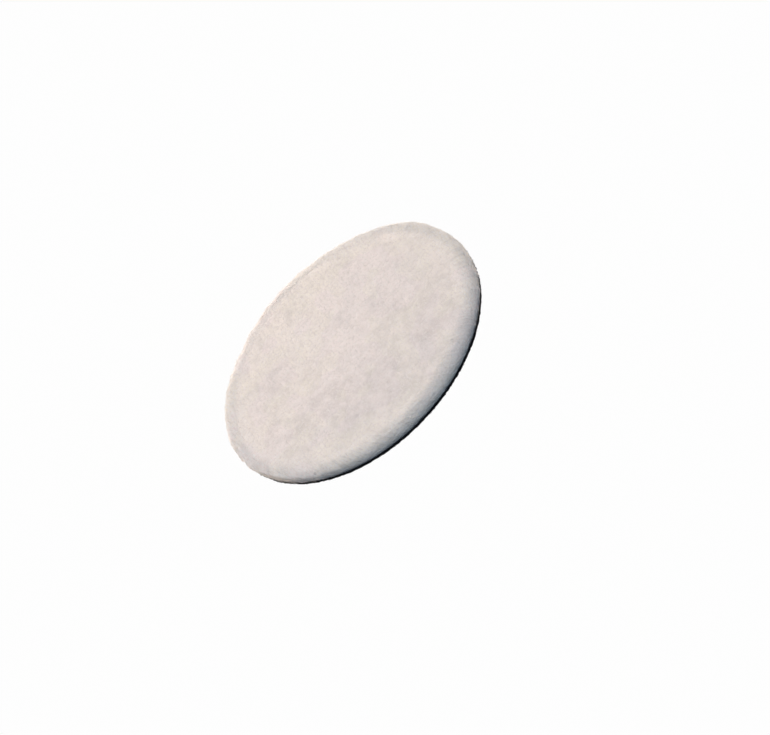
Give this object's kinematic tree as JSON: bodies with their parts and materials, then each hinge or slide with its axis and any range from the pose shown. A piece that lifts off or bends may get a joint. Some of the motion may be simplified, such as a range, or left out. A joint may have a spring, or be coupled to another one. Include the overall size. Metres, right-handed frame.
{
  "type": "polishing pad",
  "caption": "Round flat polishing pad: short dense cream wool pile with a rounded shoulder, bonded to a thin black loop backing that hooks grip.",
  "frame": {"origin": "centre of the loop face, which is the pad's lowest point", "axes": "+Z is the disc's axis and points out of the wool face; the pad is round, so +X and +Y are any two square directions across it"},
  "size_m": [0.15, 0.15, 0.008],
  "materials": {
    "cream_wool": "short sheared wool pile, soft and matt, with faint clumps and a pale sheen where the fibres fan over the rim",
    "white_knit": "fine knitted ground cloth, off-white and matt",
    "milky_latex": "thin brushed-on latex, milky, satin",
    "hot_melt": "thin grey glue film, satin",
    "black_knit": "fine warp-knitted nylon cloth, blue-black, slightly glossy along its stitches",
    "black_loops": "standing nylon loops, blue-black, with a faint sheen on each filament"
  },
  "bodies": {
    "root": {"loop_nap": "black_loops", "loop_ground_knit": "black_knit", "laminating_film": "hot_melt", "root_coating": "milky_latex", "pile_ground_knit": "white_knit", "wool_pile": "cream_wool"}
  },
  "joints": []
}
